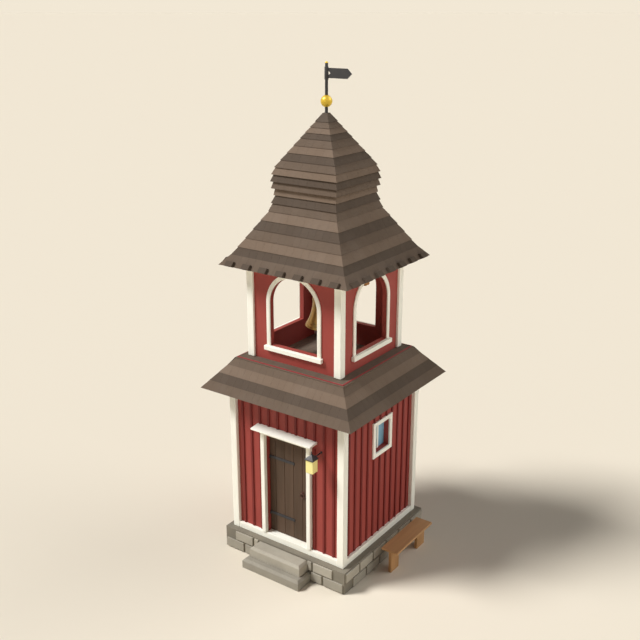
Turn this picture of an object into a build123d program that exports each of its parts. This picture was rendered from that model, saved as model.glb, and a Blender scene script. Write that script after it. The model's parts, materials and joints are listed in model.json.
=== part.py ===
"""Bell tower: a timber tower on a stone plinth, with an open belfry, a bell and a weather vane.

Sizes are in millimetres, with +Z up and the origin on the ground under the tower's centre.
The door wall faces -Y and the window wall faces +X.
"""
from build123d import *
import os

# Lower storey: the corner posts give the tower's width
POST_OUT = 1200.0            # tower's axis to the outer face of the posts
POST_SIDE = 130.0
POST_PROUD = 66.0            # how far the posts stand out from the walls
WALL_THICK = 150.0
STOREY_HIGH = 2757.0         # plinth to the skirt roof's eave
BASE_BOARD_THICK = 60.0
BASE_BOARD_HIGH = 115.0
FLOOR_THICK = 115.0

# Plinth and steps
PLINTH_LEDGE = 100.0         # plinth's face beyond the posts
PLINTH_TOP = 410.0
STEP_LOW_HALF = 612.0
STEP_LOW_DEEP = 380.0
STEP_LOW_RISE = 180.0
STEP_HIGH_HALF = 543.0
STEP_HIGH_DEEP = 250.0
STEP_HIGH_RISE = 195.0

# Doorway, door and hood
DOOR_HALF = 446.0            # half the clear width between the jambs
DOOR_HIGH = 1917.0           # clear height over the threshold
JAMB_WIDE = 78.0
JAMB_THICK = 78.0
LEAF_INSET = 72.0            # wall face to the leaf's front face
LEAF_THICK = 45.0
LEAF_GAP = 5.0
SILL_GAP = 6.0
HOOD_GAP = 14.0              # doorway's head to the frieze board
FRIEZE_HIGH = 40.0
FRIEZE_OUT = 80.0
FRIEZE_SIDE = 10.0           # how far it runs past the jambs
MOULD_HIGH = 54.0
MOULD_OUT = 150.0
MOULD_SIDE = 58.0
HOOD_BOARD_THICK = 46.0
HOOD_BOARD_OUT = 210.0
HOOD_BOARD_SIDE = 100.0

# Door fittings
HINGE_PIN_R = 6.0
HINGE_EYE_R = 9.0
HINGE_SLACK = 0.06
HINGE_PIN_IN = 17.0          # opening's edge to the pin's axis
HINGE_PIN_OUT = 10.0         # leaf's front face to the pin's axis
STRAP_LONG = 529.0
STRAP_HIGH = 48.0
STRAP_THICK = 12.0
STRAP_LOW = 367.0            # lower strap's middle over the threshold
STRAP_DOWN = 448.0           # upper strap's middle below the doorway's head
PINTLE_HIGH = 20.0
RING_IN = 176.0              # opening's right edge to the ring
RING_UP = 961.0              # threshold to the ring's pivot
RING_R = 42.0
RING_WIRE_R = 9.0
RING_OUT = 20.0              # leaf's front face to the ring's centre plane
RING_SLACK = 0.4
BOSS_HALF = 26.0
BOSS_THICK = 5.0
LUG_HALF_WIDE = 4.0
LUG_R = 17.0

# Lantern on its arm, beside the hood
LANTERN_ASIDE = 189.0        # jamb to the lantern's centre
LANTERN_OUT = 280.0          # wall face to the lantern's centre
LANTERN_DOWN = 18.0          # doorway's head to the top of the lantern's body
LANTERN_HALF = 71.0
LANTERN_HIGH = 238.0
LANTERN_RIM_HALF = 84.0
LANTERN_RIM_HIGH = 16.0
LANTERN_PEAK_HIGH = 76.0
LANTERN_PEAK_HALF = 6.0
ARM_SIDE = 16.0
ARM_PLATE_HALF = 14.0
ARM_PLATE_HIGH = 36.0
ARM_PLATE_THICK = 12.0

# Window in the right wall
WINDOW_Y = 57.0
WINDOW_UP = 1970.0           # plinth to the window's middle
WINDOW_HALF_WIDE = 227.0
WINDOW_HALF_HIGH = 258.0
CASING_WIDE = 74.0
CASING_THICK = 32.0
GLASS_INSET = 96.0
GLASS_THICK = 8.0
MULLION_WIDE = 42.0
MULLION_THICK = 20.0

# Skirt roof
SKIRT_OVERHANG = 346.0
SKIRT_RISE = 534.0
SKIRT_THICK = 78.0           # measured level, from face to face of the slope
DECK_WIDE = 138.0            # belfry posts to the crease at the top of the slope
DECK_RISE = 19.0
DECK_THICK = 70.0

# Belfry
BELFRY_SETBACK = 246.0       # lower posts' face to the belfry posts' face
BELFRY_POST_SIDE = 132.0
BELFRY_POST_PROUD = 40.0
BELFRY_WALL_THICK = 82.0
BELFRY_FLOOR_DOWN = 120.0    # deck to the floor inside
BELFRY_FLOOR_THICK = 50.0
OPENING_UP = 394.0           # floor to the foot of the arched openings
SILL_DOWN = 10.0             # opening's foot to the sill's top
SILL_THICK = 80.0
SILL_OUT = 66.0
SILL_SIDE = 107.0            # how far the sill runs past the opening
ARCH_HALF = 480.0
ARCH_LEG = 746.0             # opening's foot to the springing of the arch
TRIM_WIDE = 73.0
TRIM_THICK = 24.0
TRIM_GAP = 8.0
CEILING_THICK = 40.0
CEILING_IN = 125.0           # helm's eave to the ceiling's edge

# Bell and its hanging: the bell's places are measured down from its pin
BEAM_HALF_WIDE = 60.0
BEAM_HIGH = 170.0
BEAM_UNDER_CROWN = 10.0
CARRIER_WIDE = 100.0
PIN_BELOW_BEAM = 80.0
BELL_PIN_R = 15.0
BELL_PIN_HALF = 84.0
BELL_PIN_SLACK = 0.06
CHEEK_THICK = 12.0
CHEEK_HALF_WIDE = 45.0
CHEEK_BELOW_PIN = 45.0
CHEEK_GAP = 10.0
HANGER_HALF_LONG = 50.0
HANGER_HALF_WIDE = 35.0
HANGER_ABOVE_PIN = 30.0
BELL_CROWN = (80.0, 164.0)   # radius and drop, here and below
BELL_SHOULDER = (186.0, 208.0)
BELL_WAIST = (226.0, 316.0)
BELL_SIDE = (262.0, 560.0)
BELL_RIM = (354.0, 772.0)
BELL_WALL = 22.0

# Helm roof: half-widths, and rises over the eave, of its side profile
HELM_OVERHANG = 321.0
HELM_KICK = (1138.0, 144.0)
HELM_WAIST = (680.0, 863.0)
HELM_NECK = (615.0, 1123.0)
HELM_BULGE = (652.0, 1349.0)
HELM_SHOULDER = (600.0, 1588.0)
HELM_TIP = (134.0, 2285.0)
HELM_THICK = 75.0            # measured level
HELM_FOOT_HIGH = 60.0
HELM_FOOT_DEEP = 100.0       # width of the foot that rests on the ceiling
CAP_TOP_HALF = 41.0
CAP_HIGH = 134.0

# Finial and vane: places are measured up from the cap
ROD_R = 25.0
ROD_SOCKET = 60.0
ROD_SLACK = 0.06
BALL_R = 98.0
BALL_UP = 179.0
COLLAR_R = 34.0
COLLAR_HIGH = 8.0
SLEEVE_R = 33.0
SLEEVE_UP = 520.0
SLEEVE_HIGH = 184.0
SLEEVE_SLACK = 0.08
FLAG_UP = 14.0               # sleeve's foot to the flag's lower edge
FLAG_HIGH = 156.0
FLAG_THICK = 8.0
FLAG_START = 20.0
FLAG_NOTCH_LONG = 58.0       # notch's depth from the flag's edge at the sleeve
FLAG_NOTCH_HALF = 48.0
FLAG_STRAIGHT = 396.0
FLAG_POINT = 480.0
ROD_OVER_SLEEVE = 59.0

# Bench beside the right wall
BENCH_AWAY = 122.0           # plinth to the seat's edge
BENCH_WIDE = 326.0
BENCH_LONG = 1230.0
BENCH_START = -336.0
BENCH_TOP = 462.0
BENCH_SEAT_THICK = 42.0
BENCH_LEG_THICK = 58.0
BENCH_LEG_LONG = 260.0
BENCH_LEG_IN = 30.0

# Worked out from the sizes above
PLINTH_HALF = POST_OUT + PLINTH_LEDGE
POST_IN = POST_OUT - POST_SIDE
WALL_OUT = POST_OUT - POST_PROUD
WALL_IN = WALL_OUT - WALL_THICK
BASE_BOARD_TOP = PLINTH_TOP + BASE_BOARD_HIGH
DOOR_HEAD = BASE_BOARD_TOP + DOOR_HIGH
LEAF_FRONT = LEAF_INSET - WALL_OUT
HINGE_X = HINGE_PIN_IN - DOOR_HALF
HINGE_Y = LEAF_FRONT - HINGE_PIN_OUT
STRAP_HEIGHTS = (BASE_BOARD_TOP + STRAP_LOW, DOOR_HEAD - STRAP_DOWN)
RING_X = DOOR_HALF - RING_IN
RING_Z = BASE_BOARD_TOP + RING_UP
HOOD_HALF = DOOR_HALF + JAMB_WIDE
LANTERN_X = HOOD_HALF + LANTERN_ASIDE
LANTERN_Z = DOOR_HEAD - LANTERN_DOWN
WINDOW_Z = PLINTH_TOP + WINDOW_UP
BELFRY_POST_OUT = POST_OUT - BELFRY_SETBACK
BELFRY_POST_IN = BELFRY_POST_OUT - BELFRY_POST_SIDE
BELFRY_WALL_OUT = BELFRY_POST_OUT - BELFRY_POST_PROUD
BELFRY_WALL_IN = BELFRY_WALL_OUT - BELFRY_WALL_THICK
SKIRT_EAVE = POST_OUT + SKIRT_OVERHANG
SKIRT_EAVE_Z = PLINTH_TOP + STOREY_HIGH
SKIRT_TOP = BELFRY_POST_OUT + DECK_WIDE
SKIRT_TOP_Z = SKIRT_EAVE_Z + SKIRT_RISE
SKIRT_SLOPE = SKIRT_RISE / (SKIRT_EAVE - SKIRT_TOP)
DECK_Z = SKIRT_TOP_Z + DECK_RISE
DECK_UNDER = DECK_Z - DECK_THICK
BELFRY_FLOOR_Z = DECK_Z - BELFRY_FLOOR_DOWN
OPENING_FOOT = BELFRY_FLOOR_Z + OPENING_UP
SILL_TOP = OPENING_FOOT - SILL_DOWN
ARCH_SPRING_Z = OPENING_FOOT + ARCH_LEG
ARCH_CROWN_Z = ARCH_SPRING_Z + ARCH_HALF
BELFRY_TOP = ARCH_CROWN_Z + TRIM_WIDE + TRIM_GAP
BEAM_TOP = ARCH_CROWN_Z - BEAM_UNDER_CROWN
BEAM_FOOT = BEAM_TOP - BEAM_HIGH
BELL_PIN_Z = BEAM_FOOT - PIN_BELOW_BEAM
HELM_EAVE = BELFRY_POST_OUT + HELM_OVERHANG
HELM_EAVE_Z = BELFRY_TOP + CEILING_THICK
CEILING_HALF = HELM_EAVE - CEILING_IN
CAP_FOOT_Z = HELM_EAVE_Z + HELM_TIP[1]
CAP_TOP_Z = CAP_FOOT_Z + CAP_HIGH
BALL_Z = CAP_TOP_Z + BALL_UP
SLEEVE_FOOT = CAP_TOP_Z + SLEEVE_UP
SLEEVE_TOP = SLEEVE_FOOT + SLEEVE_HIGH
FLAG_FOOT = SLEEVE_FOOT + FLAG_UP
ROD_TOP = SLEEVE_TOP + ROD_OVER_SLEEVE
TIP_TOP = ROD_TOP + ROD_R
FAR = 2.0 * TIP_TOP          # well outside the tower, for cutting shapes


def block(x, y, z):
    """A box from its low and high values along each axis."""
    size = [high - low for low, high in (x, y, z)]
    middle = [(high + low) / 2 for low, high in (x, y, z)]
    return Pos(*middle) * Box(*size)


def upright(x, y, radius, z):
    """A vertical cylinder between two heights."""
    return Pos(x, y, (z[0] + z[1]) / 2) * Cylinder(radius, z[1] - z[0])


def lengthwise(y, z, radius, half):
    """A cylinder along X, centred on x = 0."""
    return Pos(0, y, z) * Rot(0, 90, 0) * Cylinder(radius, 2 * half)


def on_four_sides(front):
    """A front piece and its copies on the other three sides."""
    return [Rot(0, 0, 90 * turn) * front for turn in range(4)]


def side_prism(outline, half):
    """Extrude an outline of (out, up) points along X; out points towards -Y."""
    face = Plane.YZ * make_face(Polyline([(-out, up) for out, up in outline], close=True))
    return extrude(face, half, both=True)


def quarter(reach, z):
    """The wedge of space nearer to the front than to the other sides."""
    corners = [(0, 0), (-reach, -reach), (reach, -reach)]
    return Pos(0, 0, z[0]) * extrude(make_face(Polyline(corners, close=True)), z[1] - z[0])


def save(name, *shapes):
    """Write one named piece, made of one or more solids."""
    solids = [solid for shape in shapes for solid in shape.solids()]
    export_step(Compound(children=solids), f"parts/{name}.step")


# Stone base

def make_plinth():
    half = (-PLINTH_HALF, PLINTH_HALF)
    return block(half, half, (0, PLINTH_TOP))


def make_steps():
    back = -PLINTH_HALF
    low = block((-STEP_LOW_HALF, STEP_LOW_HALF), (back - STEP_LOW_DEEP, back), (0, STEP_LOW_RISE))
    high_z = (STEP_LOW_RISE, STEP_LOW_RISE + STEP_HIGH_RISE)
    high = block((-STEP_HIGH_HALF, STEP_HIGH_HALF), (back - STEP_HIGH_DEEP, back), high_z)
    return low, high


# Lower storey

def skirt_underside(out):
    """Height of the skirt roof's underside at a distance from the axis."""
    return SKIRT_EAVE_Z + (SKIRT_EAVE - SKIRT_THICK - out) * SKIRT_SLOPE


def skirt_crease():
    """Distance from the axis at which the slope's underside meets the deck's."""
    return SKIRT_EAVE - SKIRT_THICK - (DECK_UNDER - SKIRT_EAVE_Z) / SKIRT_SLOPE


def wall_section():
    """A wall seen from its end, trimmed under the skirt roof."""
    return [(WALL_OUT, PLINTH_TOP), (WALL_OUT, skirt_underside(WALL_OUT)),
            (skirt_crease(), DECK_UNDER), (WALL_IN, DECK_UNDER), (WALL_IN, PLINTH_TOP)]


def make_wall():
    """The front wall without its doorway, from post to post, mitred inside the corners."""
    whole = side_prism(wall_section(), POST_IN)
    return whole & quarter(FAR, (0, FAR))


def make_front_walls():
    wall = make_wall()
    room = (PLINTH_TOP, FAR)
    left = wall & block((-FAR, -DOOR_HALF), (-FAR, 0), room)
    right = wall & block((DOOR_HALF, FAR), (-FAR, 0), room)
    head = wall & block((-DOOR_HALF, DOOR_HALF), (-FAR, 0), (DOOR_HEAD, FAR))
    return left, right, head


def window_hole(grow=0.0):
    """The window's opening through the right wall, or a larger outline around it."""
    wide = WINDOW_HALF_WIDE + grow
    high = WINDOW_HALF_HIGH + grow
    return block((0, FAR), (WINDOW_Y - wide, WINDOW_Y + wide), (WINDOW_Z - high, WINDOW_Z + high))


def make_lower_post():
    """The corner post at the front left, trimmed under both slopes of the skirt roof."""
    corner = (-POST_OUT, -POST_IN)
    post = block(corner, corner, (PLINTH_TOP, DECK_UNDER))
    under = [(0, PLINTH_TOP), (POST_OUT, PLINTH_TOP), (POST_OUT, skirt_underside(POST_OUT)),
             (skirt_crease(), DECK_UNDER), (0, DECK_UNDER)]
    front = side_prism(under, FAR)
    return post & front & (Rot(0, 0, -90) * front)


def make_base_board():
    out = -(WALL_OUT + BASE_BOARD_THICK)
    return block((-POST_IN, POST_IN), (out, -WALL_OUT), (PLINTH_TOP, BASE_BOARD_TOP))


def make_ground_floor():
    half = (-WALL_IN, WALL_IN)
    return block(half, half, (PLINTH_TOP, PLINTH_TOP + FLOOR_THICK))


# Doorway, door and hood

def make_threshold():
    return block((-DOOR_HALF, DOOR_HALF), (-WALL_OUT, -WALL_IN), (PLINTH_TOP, BASE_BOARD_TOP))


def make_jambs():
    face = (-(WALL_OUT + JAMB_THICK), -WALL_OUT)
    rise = (BASE_BOARD_TOP, DOOR_HEAD + HOOD_GAP)
    left = block((-DOOR_HALF - JAMB_WIDE, -DOOR_HALF), face, rise)
    right = block((DOOR_HALF, DOOR_HALF + JAMB_WIDE), face, rise)
    return left, right


def make_hood():
    """A frieze board, a stepped moulding that widens upwards, and a top board."""
    layers = [(FRIEZE_SIDE, FRIEZE_OUT, FRIEZE_HIGH), (MOULD_SIDE, MOULD_OUT, MOULD_HIGH),
              (HOOD_BOARD_SIDE, HOOD_BOARD_OUT, HOOD_BOARD_THICK)]
    hood = None
    foot = DOOR_HEAD + HOOD_GAP
    for side, out, high in layers:
        half = HOOD_HALF + side
        layer = block((-half, half), (-WALL_OUT - out, -WALL_OUT), (foot, foot + high))
        hood = layer if hood is None else hood + layer
        foot += high
    return hood


def make_leaf():
    half = DOOR_HALF - LEAF_GAP
    rise = (BASE_BOARD_TOP + SILL_GAP, DOOR_HEAD - LEAF_GAP)
    return block((-half, half), (LEAF_FRONT, LEAF_FRONT + LEAF_THICK), rise)


def make_strap(height):
    """A long strap on the leaf's face, with an eye for the hinge pin at its end."""
    rise = (height - STRAP_HIGH / 2, height + STRAP_HIGH / 2)
    strap = block((HINGE_X, HINGE_X + STRAP_LONG), (LEAF_FRONT - STRAP_THICK, LEAF_FRONT), rise)
    eye = upright(HINGE_X, HINGE_Y, HINGE_EYE_R, rise)
    bore = upright(HINGE_X, HINGE_Y, HINGE_PIN_R + HINGE_SLACK, rise)
    return strap + eye - bore


def make_pintle(height):
    """A pin that stands on a small bracket fixed to the side of the doorway."""
    foot = height - STRAP_HIGH / 2
    pin = upright(HINGE_X, HINGE_Y, HINGE_PIN_R, (foot - PINTLE_HIGH, height + STRAP_HIGH / 2))
    rise = (foot - PINTLE_HIGH, foot)
    bracket = block((-DOOR_HALF, HINGE_X), (HINGE_Y - HINGE_PIN_R, HINGE_Y + HINGE_PIN_R), rise)
    return pin + bracket


def make_ring():
    centre = Pos(RING_X, LEAF_FRONT - RING_OUT, RING_Z - RING_R)
    return centre * Rot(90, 0, 0) * Torus(RING_R, RING_WIRE_R)


def make_ring_boss():
    """A square plate on the leaf, with a lug that the ring hangs through."""
    wide = (RING_X - BOSS_HALF, RING_X + BOSS_HALF)
    plate = block(wide, (LEAF_FRONT - BOSS_THICK, LEAF_FRONT),
                  (RING_Z - BOSS_HALF, RING_Z + BOSS_HALF))
    pivot_y = LEAF_FRONT - RING_OUT
    across = Pos(RING_X, pivot_y, RING_Z) * Rot(0, 90, 0)
    lug = across * Cylinder(LUG_R, 2 * LUG_HALF_WIDE)
    neck = block((RING_X - LUG_HALF_WIDE, RING_X + LUG_HALF_WIDE), (pivot_y, LEAF_FRONT),
                 (RING_Z, RING_Z + LUG_R))
    bore = across * Cylinder(RING_WIRE_R + RING_SLACK, 4 * LUG_HALF_WIDE)
    return plate + (lug + neck - bore)


# Lantern on its arm

def make_lantern_arm():
    wall = -WALL_OUT
    rim_back = wall - LANTERN_OUT + LANTERN_RIM_HALF
    half = ARM_SIDE / 2
    level = (LANTERN_Z, LANTERN_Z + LANTERN_RIM_HIGH)
    bar = block((LANTERN_X - half, LANTERN_X + half), (rim_back, wall), level)
    middle = (level[0] + level[1]) / 2
    plate = block((LANTERN_X - ARM_PLATE_HALF, LANTERN_X + ARM_PLATE_HALF),
                  (wall - ARM_PLATE_THICK, wall),
                  (middle - ARM_PLATE_HIGH / 2, middle + ARM_PLATE_HIGH / 2))
    return bar + plate


def taper(half_low, half_high, z):
    """A square block that tapers evenly from a low half-width to a high one."""
    sketch = [(half_low, z[0]), (half_high, z[1]), (-half_high, z[1]), (-half_low, z[0])]
    prism = side_prism(sketch, half_low)
    return prism & (Rot(0, 0, 90) * prism)


def make_lantern_cap():
    rim_top = LANTERN_Z + LANTERN_RIM_HIGH
    half = (-LANTERN_RIM_HALF, LANTERN_RIM_HALF)
    rim = block(half, half, (LANTERN_Z, rim_top))
    cap = rim + taper(LANTERN_RIM_HALF, LANTERN_PEAK_HALF, (rim_top, rim_top + LANTERN_PEAK_HIGH))
    return Pos(LANTERN_X, -(WALL_OUT + LANTERN_OUT), 0) * cap


def make_lantern_body():
    half = (-LANTERN_HALF, LANTERN_HALF)
    body = block(half, half, (LANTERN_Z - LANTERN_HIGH, LANTERN_Z))
    return Pos(LANTERN_X, -(WALL_OUT + LANTERN_OUT), 0) * body


# Window

def make_window_frame():
    front = block((WALL_OUT, WALL_OUT + CASING_THICK), (-FAR, FAR), (0, FAR))
    return front & window_hole(CASING_WIDE) - window_hole()


def make_window_glass():
    face = WALL_OUT - GLASS_INSET
    return window_hole() & block((face - GLASS_THICK, face), (-FAR, FAR), (0, FAR))


def make_mullion():
    face = WALL_OUT - GLASS_INSET
    wide = (WINDOW_Y - MULLION_WIDE / 2, WINDOW_Y + MULLION_WIDE / 2)
    return window_hole() & block((face, face + MULLION_THICK), wide, (0, FAR))


# Skirt roof between the storeys

def make_skirt():
    """The front quarter: a slope and a nearly level deck that runs in to the belfry wall."""
    outline = [(SKIRT_EAVE, SKIRT_EAVE_Z), (SKIRT_TOP, SKIRT_TOP_Z), (BELFRY_POST_OUT, DECK_Z),
               (BELFRY_WALL_OUT, DECK_Z), (BELFRY_WALL_OUT, DECK_UNDER),
               (skirt_crease(), DECK_UNDER), (SKIRT_EAVE - SKIRT_THICK, SKIRT_EAVE_Z)]
    return side_prism(outline, FAR) & quarter(FAR, (0, FAR))


# Belfry

def make_belfry_floor():
    half = (-WALL_IN, WALL_IN)
    return block(half, half, (BELFRY_FLOOR_Z - BELFRY_FLOOR_THICK, BELFRY_FLOOR_Z))


def arch(grow, y, foot):
    """A round-headed opening, wider by grow all round, between two y values."""
    half = ARCH_HALF + grow
    legs = block((-half, half), y, (foot, ARCH_SPRING_Z))
    middle = Pos(0, (y[0] + y[1]) / 2, ARCH_SPRING_Z)
    return legs + middle * Rot(90, 0, 0) * Cylinder(half, y[1] - y[0])


def make_belfry_wall():
    faces = (-BELFRY_WALL_OUT, -BELFRY_WALL_IN)
    wall = block((-BELFRY_POST_IN, BELFRY_POST_IN), faces, (BELFRY_FLOOR_Z, BELFRY_TOP))
    return wall - arch(0, faces, OPENING_FOOT)


def make_belfry_post():
    """The front left post; its narrower foot stands on the floor inside the deck."""
    post = (-BELFRY_POST_OUT, -BELFRY_POST_IN)
    foot = (-BELFRY_WALL_OUT, -BELFRY_POST_IN)
    return block(post, post, (DECK_Z, BELFRY_TOP)) + block(foot, foot, (BELFRY_FLOOR_Z, DECK_Z))


def make_arch_trim():
    faces = (-(BELFRY_WALL_OUT + TRIM_THICK), -BELFRY_WALL_OUT)
    return arch(TRIM_WIDE, faces, SILL_TOP) - arch(0, faces, SILL_TOP)


def make_belfry_sill():
    half = ARCH_HALF + SILL_SIDE
    return block((-half, half), (-(BELFRY_WALL_OUT + SILL_OUT), -BELFRY_WALL_OUT),
                 (SILL_TOP - SILL_THICK, SILL_TOP))


def make_ceiling():
    half = (-CEILING_HALF, CEILING_HALF)
    return block(half, half, (BELFRY_TOP, BELFRY_TOP + CEILING_THICK))


# Bell and its hanging

def make_bell_carriers():
    """Two beams under the ceiling, beside the left and right walls."""
    long = (-BELFRY_POST_IN, BELFRY_POST_IN)
    inner = BELFRY_WALL_IN - CARRIER_WIDE
    right = block((inner, BELFRY_WALL_IN), long, (BEAM_TOP, BELFRY_TOP))
    left = block((-BELFRY_WALL_IN, -inner), long, (BEAM_TOP, BELFRY_TOP))
    return right, left


def make_bell_beam():
    return block((-BELFRY_WALL_IN, BELFRY_WALL_IN), (-BEAM_HALF_WIDE, BEAM_HALF_WIDE),
                 (BEAM_FOOT, BEAM_TOP))


def make_bell_bracket():
    """Two cheeks under the beam with the pin that the bell swings on."""
    inner = HANGER_HALF_LONG + CHEEK_GAP
    wide = (-CHEEK_HALF_WIDE, CHEEK_HALF_WIDE)
    rise = (BELL_PIN_Z - CHEEK_BELOW_PIN, BEAM_FOOT)
    right = block((inner, inner + CHEEK_THICK), wide, rise)
    left = block((-inner - CHEEK_THICK, -inner), wide, rise)
    return right + left + lengthwise(0, BELL_PIN_Z, BELL_PIN_R, BELL_PIN_HALF)


def make_bell_hanger():
    body = block((-HANGER_HALF_LONG, HANGER_HALF_LONG), (-HANGER_HALF_WIDE, HANGER_HALF_WIDE),
                 (BELL_PIN_Z - BELL_CROWN[1], BELL_PIN_Z + HANGER_ABOVE_PIN))
    return body - lengthwise(0, BELL_PIN_Z, BELL_PIN_R + BELL_PIN_SLACK, BELL_PIN_HALF)


def bell_outline(inset):
    """Half of the bell's side view, set in and down from the outer face."""
    def place(point, down=inset):
        radius, drop = point
        return radius - inset, BELL_PIN_Z - drop - down

    rim = place(BELL_RIM, 0)
    flare = ThreePointArc(rim, place(BELL_SIDE, 0), place(BELL_WAIST))
    shoulder = ThreePointArc(place(BELL_WAIST), place(BELL_SHOULDER), place(BELL_CROWN))
    crown = place(BELL_CROWN)
    rest = Polyline(crown, (0, crown[1]), (0, rim[1]), rim)
    return Plane.XZ * make_face([*flare.edges(), *shoulder.edges(), *rest.edges()])


def make_bell():
    return revolve(bell_outline(0) - bell_outline(BELL_WALL), Axis.Z)


# Helm roof

def helm_outline(inset):
    """Half of the helm's side view, from the axis to its face set in by a level distance."""
    def place(point):
        half, rise = point
        return half - inset, HELM_EAVE_Z + rise

    eave = place((HELM_EAVE, 0))
    tip = place(HELM_TIP)
    sweep = Polyline(eave, place(HELM_KICK), place(HELM_WAIST), place(HELM_NECK))
    bulge = ThreePointArc(place(HELM_NECK), place(HELM_BULGE), place(HELM_SHOULDER))
    rest = Polyline(place(HELM_SHOULDER), tip, (0, tip[1]), (0, eave[1]), eave)
    return make_face([*sweep.edges(), *bulge.edges(), *rest.edges()])


def make_helm():
    """The quarter that faces right: a bent skin with a level foot on the ceiling."""
    def outer_part(start, foot):
        return Pos(start, foot) * Rectangle(FAR, FAR, align=(Align.MIN, Align.MIN))

    inner = helm_outline(HELM_THICK)
    over_foot = inner & outer_part(0, HELM_EAVE_Z + HELM_FOOT_HIGH)
    inside_foot = inner - outer_part(CEILING_HALF - HELM_FOOT_DEEP, 0)
    panel = extrude(Plane.XZ * (helm_outline(0) - over_foot - inside_foot), FAR, both=True)
    return panel & (Rot(0, 0, 90) * quarter(FAR, (0, FAR)))


def make_helm_cap():
    cap = taper(HELM_TIP[0], CAP_TOP_HALF, (CAP_FOOT_Z, CAP_TOP_Z))
    return cap - upright(0, 0, ROD_R + ROD_SLACK, (CAP_TOP_Z - ROD_SOCKET, CAP_TOP_Z))


# Finial and vane

def make_rod():
    rod = upright(0, 0, ROD_R, (CAP_TOP_Z - ROD_SOCKET, ROD_TOP))
    return rod + upright(0, 0, COLLAR_R, (SLEEVE_FOOT - COLLAR_HIGH, SLEEVE_FOOT))


def make_ball():
    ball = Pos(0, 0, BALL_Z) * Sphere(BALL_R)
    return ball - upright(0, 0, ROD_R + ROD_SLACK, (BALL_Z - BALL_R, BALL_Z + BALL_R))


def make_tip():
    """A gilded dome on the rod's end, as wide as the rod."""
    return Pos(0, 0, ROD_TOP) * Sphere(ROD_R) & upright(0, 0, ROD_R, (ROD_TOP, TIP_TOP))


def make_vane():
    """A pennant with a notch towards the rod, on a sleeve that turns round the rod."""
    top = FLAG_FOOT + FLAG_HIGH
    middle = FLAG_FOOT + FLAG_HIGH / 2
    outline = Polyline((FLAG_START, FLAG_FOOT), (FLAG_STRAIGHT, FLAG_FOOT), (FLAG_POINT, middle),
                       (FLAG_STRAIGHT, top), (FLAG_START, top),
                       (FLAG_START, middle + FLAG_NOTCH_HALF),
                       (FLAG_START + FLAG_NOTCH_LONG, middle),
                       (FLAG_START, middle - FLAG_NOTCH_HALF), close=True)
    flag = extrude(Plane.XZ * make_face(outline), FLAG_THICK / 2, both=True)
    sleeve = upright(0, 0, SLEEVE_R, (SLEEVE_FOOT, SLEEVE_TOP))
    return flag + sleeve - upright(0, 0, ROD_R + SLEEVE_SLACK, (SLEEVE_FOOT, SLEEVE_TOP))


# Bench

def make_bench_seat():
    near = PLINTH_HALF + BENCH_AWAY
    return block((near, near + BENCH_WIDE), (BENCH_START, BENCH_START + BENCH_LONG),
                 (BENCH_TOP - BENCH_SEAT_THICK, BENCH_TOP))


def make_bench_legs():
    middle = PLINTH_HALF + BENCH_AWAY + BENCH_WIDE / 2
    across = (middle - BENCH_LEG_THICK / 2, middle + BENCH_LEG_THICK / 2)
    rise = (0, BENCH_TOP - BENCH_SEAT_THICK)
    near = BENCH_START + BENCH_LEG_IN
    far = BENCH_START + BENCH_LONG - BENCH_LEG_IN
    return (block(across, (near, near + BENCH_LEG_LONG), rise),
            block(across, (far - BENCH_LEG_LONG, far), rise))


os.makedirs("parts", exist_ok=True)

save("plinth", make_plinth())
step_lower, step_upper = make_steps()
save("step_lower", step_lower)
save("step_upper", step_upper)
save("lower_posts", *on_four_sides(make_lower_post()))
save("base_boards", *on_four_sides(make_base_board()))
save("ground_floor", make_ground_floor())
front_left, front_right, front_head = make_front_walls()
save("front_wall_left", front_left)
save("front_wall_right", front_right)
save("front_wall_head", front_head)
_, right_wall, back_wall, left_wall = on_four_sides(make_wall())
save("right_wall", right_wall - window_hole())
save("back_wall", back_wall)
save("left_wall", left_wall)
save("threshold", make_threshold())
save("door_jambs", *make_jambs())
save("door_hood", make_hood())
save("door_leaf", make_leaf())
save("hinge_straps", *[make_strap(height) for height in STRAP_HEIGHTS])
save("hinge_pintles", *[make_pintle(height) for height in STRAP_HEIGHTS])
save("ring_boss", make_ring_boss())
save("door_ring", make_ring())
save("lantern_arm", make_lantern_arm())
save("lantern_cap", make_lantern_cap())
save("lantern_body", make_lantern_body())
save("window_frame", make_window_frame())
save("window_glass", make_window_glass())
save("window_mullion", make_mullion())
skirts = on_four_sides(make_skirt())
save("skirt_front_back", *skirts[0::2])
save("skirt_sides", *skirts[1::2])
save("belfry_floor", make_belfry_floor())
save("belfry_walls", *on_four_sides(make_belfry_wall()))
save("belfry_posts", *on_four_sides(make_belfry_post()))
save("arch_trims", *on_four_sides(make_arch_trim()))
save("belfry_sills", *on_four_sides(make_belfry_sill()))
save("belfry_ceiling", make_ceiling())
save("bell_carriers", *make_bell_carriers())
save("bell_beam", make_bell_beam())
save("bell_bracket", make_bell_bracket())
save("bell_hanger", make_bell_hanger())
save("bell", make_bell())
helms = on_four_sides(make_helm())
save("helm_sides", *helms[0::2])
save("helm_front_back", *helms[1::2])
save("helm_cap", make_helm_cap())
save("finial_rod", make_rod())
save("finial_ball", make_ball())
save("finial_tip", make_tip())
save("vane", make_vane())
save("bench_seat", make_bench_seat())
save("bench_legs", *make_bench_legs())
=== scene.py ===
import json
import math
import random

import bmesh
import bpy
from mathutils import Matrix, Vector
from mathutils.bvhtree import BVHTree

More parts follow.
